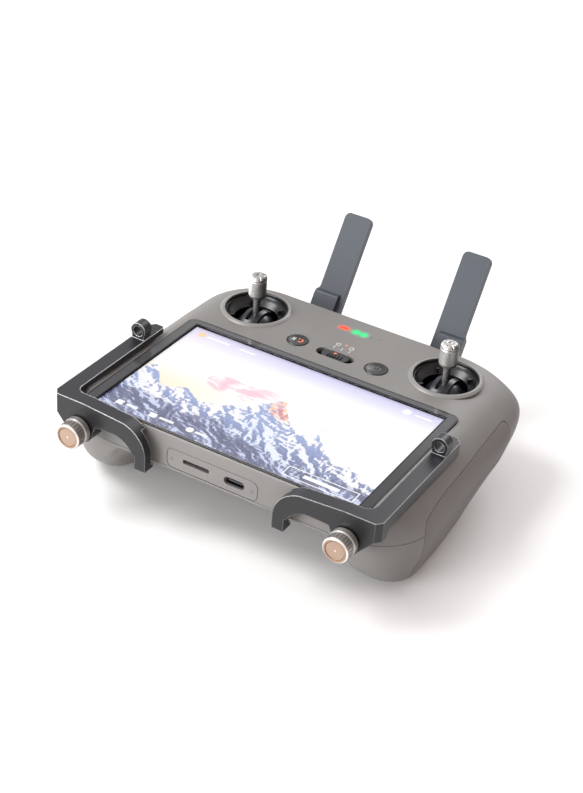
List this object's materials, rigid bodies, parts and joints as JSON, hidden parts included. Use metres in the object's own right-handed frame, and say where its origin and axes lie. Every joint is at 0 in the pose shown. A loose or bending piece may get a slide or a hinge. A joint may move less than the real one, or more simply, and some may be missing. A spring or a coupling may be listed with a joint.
{
  "type": "handheld radio controller with screen",
  "caption": "Palm-grip radio controller for a camera drone: built-in touch screen, thumb sticks, round buttons, folding antennas and a screwed-on strap bracket.",
  "frame": {"origin": "on the front face of the screen glass, at the middle of the picture's near edge", "axes": "+X to the pilot's right, +Y away from the pilot towards the antennas, +Z out of the screen"},
  "size_m": [0.1652, 0.1804, 0.0731],
  "materials": {
    "shell_plastic": "fine matt",
    "grip_texture": "textured matt",
    "cover_glass": "polished, black border",
    "display": "lit picture",
    "frame_alloy": "satin",
    "circuit_board": "solder mask",
    "black_plastic": "matt",
    "dark_plastic": "satin",
    "cell_sleeve": "sleeved",
    "port_steel": "bright",
    "lamp_warm": "lit",
    "lamp_green": "lit",
    "lamp_off": "unlit",
    "stick_steel": "turned and polished",
    "button_plastic": "satin",
    "antenna_plastic": "satin",
    "black_steel": "black oxide",
    "insert_brass": "plain",
    "bracket_alloy": "black anodised, bright chamfers",
    "pad_rubber": "matt",
    "knob_alloy": "turned, copper anodised",
    "collar_steel": "turned"
  },
  "bodies": {
    "controller": {"front_shell": "shell_plastic", "rear_shell": "shell_plastic", "left_grip_panel": "grip_texture", "right_grip_panel": "grip_texture", "screen_glass": "cover_glass", "display_panel": "display", "display_frame": "frame_alloy", "main_board": "circuit_board", "control_board": "circuit_board", "heat_sink": "frame_alloy", "fan_housing": "black_plastic", "left_cell": "cell_sleeve", "right_cell": "cell_sleeve", "speaker": "black_plastic", "usb_c_port": "port_steel", "card_slot": "port_steel", "warm_lamps": "lamp_warm", "green_lamps": "lamp_green", "spare_lamps": "lamp_off", "left_gimbal_can": "black_plastic", "right_gimbal_can": "black_plastic", "dial_axles": "port_steel", "left_antenna_pin": "port_steel", "right_antenna_pin": "port_steel", "case_screws": "black_steel", "threaded_inserts": "insert_brass", "left_bracket": "bracket_alloy", "right_bracket": "bracket_alloy", "bracket_pads": "pad_rubber"},
    "left_yoke": {"left_yoke": "dark_plastic"},
    "right_yoke": {"right_yoke": "dark_plastic"},
    "left_stick": {"left_stick": "port_steel", "left_stick_dome": "dark_plastic", "left_stick_cap": "stick_steel"},
    "right_stick": {"right_stick": "port_steel", "right_stick_dome": "dark_plastic", "right_stick_cap": "stick_steel"},
    "home_button": {"home_button": "button_plastic"},
    "power_button": {"power_button": "button_plastic"},
    "mode_slider": {"mode_slider": "button_plastic"},
    "record_button": {"record_button": "button_plastic"},
    "shutter_button": {"shutter_button": "button_plastic"},
    "tilt_dial": {"tilt_dial": "button_plastic"},
    "camera_dial": {"camera_dial": "button_plastic"},
    "left_rear_button": {"left_rear_button": "button_plastic"},
    "right_rear_button": {"right_rear_button": "button_plastic"},
    "left_antenna": {"left_antenna": "antenna_plastic"},
    "right_antenna": {"right_antenna": "antenna_plastic"},
    "fan_impeller": {"fan_impeller": "black_plastic"},
    "left_thumb_screw": {"left_thumb_screw": "knob_alloy", "left_screw_collar": "collar_steel"},
    "right_thumb_screw": {"right_thumb_screw": "knob_alloy", "right_screw_collar": "collar_steel"}
  },
  "joints": [
    {"name": "left_stick_sideways", "type": "hinge", "parent": "controller", "child": "left_yoke", "pos_m": [-0.0474, 0.1023, -0.012], "axis": [0, 1, 0], "range_deg": [-25, 25], "stiffness_Nm_per_rad": 0.02},
    {"name": "left_stick_fore_aft", "type": "hinge", "parent": "left_yoke", "child": "left_stick", "pos_m": [-0.0474, 0.1023, -0.012], "axis": [1, 0, 0], "range_deg": [-25, 25], "stiffness_Nm_per_rad": 0.02},
    {"name": "left_antenna_fold", "type": "hinge", "parent": "controller", "child": "left_antenna", "pos_m": [-0.0304, 0.127, -0.0275], "axis": [1, 0, 0], "range_deg": [-234, 30]},
    {"name": "left_thumb_screw_turn", "type": "hinge", "parent": "controller", "child": "left_thumb_screw", "pos_m": [-0.0619, -0.01, -0.0097], "axis": [0, 1, 0], "continuous": true},
    {"name": "left_rear_button_press", "type": "slide", "parent": "controller", "child": "left_rear_button", "axis": [0, 0, 1], "range_m": [0, 0.0005]},
    {"name": "right_stick_sideways", "type": "hinge", "parent": "controller", "child": "right_yoke", "pos_m": [0.0474, 0.1023, -0.012], "axis": [0, 1, 0], "range_deg": [-25, 25], "stiffness_Nm_per_rad": 0.02},
    {"name": "right_stick_fore_aft", "type": "hinge", "parent": "right_yoke", "child": "right_stick", "pos_m": [0.0474, 0.1023, -0.012], "axis": [1, 0, 0], "range_deg": [-25, 25], "stiffness_Nm_per_rad": 0.02},
    {"name": "right_antenna_fold", "type": "hinge", "parent": "controller", "child": "right_antenna", "pos_m": [0.0304, 0.127, -0.0275], "axis": [1, 0, 0], "range_deg": [-234, 30]},
    {"name": "right_thumb_screw_turn", "type": "hinge", "parent": "controller", "child": "right_thumb_screw", "pos_m": [0.0619, -0.01, -0.0097], "axis": [0, 1, 0], "continuous": true},
    {"name": "right_rear_button_press", "type": "slide", "parent": "controller", "child": "right_rear_button", "axis": [0, 0, 1], "range_m": [0, 0.0005]},
    {"name": "tilt_dial_turn", "type": "hinge", "parent": "controller", "child": "tilt_dial", "pos_m": [-0.0645, 0.1171, -0.012], "axis": [0, 0, 1], "range_deg": [-30, 30], "stiffness_Nm_per_rad": 0.01},
    {"name": "camera_dial_turn", "type": "hinge", "parent": "controller", "child": "camera_dial", "pos_m": [0.0645, 0.1171, -0.012], "axis": [0, 0, 1], "range_deg": [-30, 30], "stiffness_Nm_per_rad": 0.01},
    {"name": "home_button_press", "type": "slide", "parent": "controller", "child": "home_button", "axis": [0, 0, -1], "range_m": [0, 0.0005]},
    {"name": "power_button_press", "type": "slide", "parent": "controller", "child": "power_button", "axis": [0, 0, -1], "range_m": [0, 0.0005]},
    {"name": "mode_slider_travel", "type": "slide", "parent": "controller", "child": "mode_slider", "axis": [1, 0, 0], "range_m": [-0.0025, 0.0025]},
    {"name": "record_button_press", "type": "slide", "parent": "controller", "child": "record_button", "axis": [0, -1, 0], "range_m": [0, 0.0008]},
    {"name": "shutter_button_press", "type": "slide", "parent": "controller", "child": "shutter_button", "axis": [0, -1, 0], "range_m": [0, 0.0008]},
    {"name": "fan_spin", "type": "hinge", "parent": "controller", "child": "fan_impeller", "pos_m": [0, 0.056, -0.015], "axis": [0, 0, 1], "continuous": true}
  ]
}
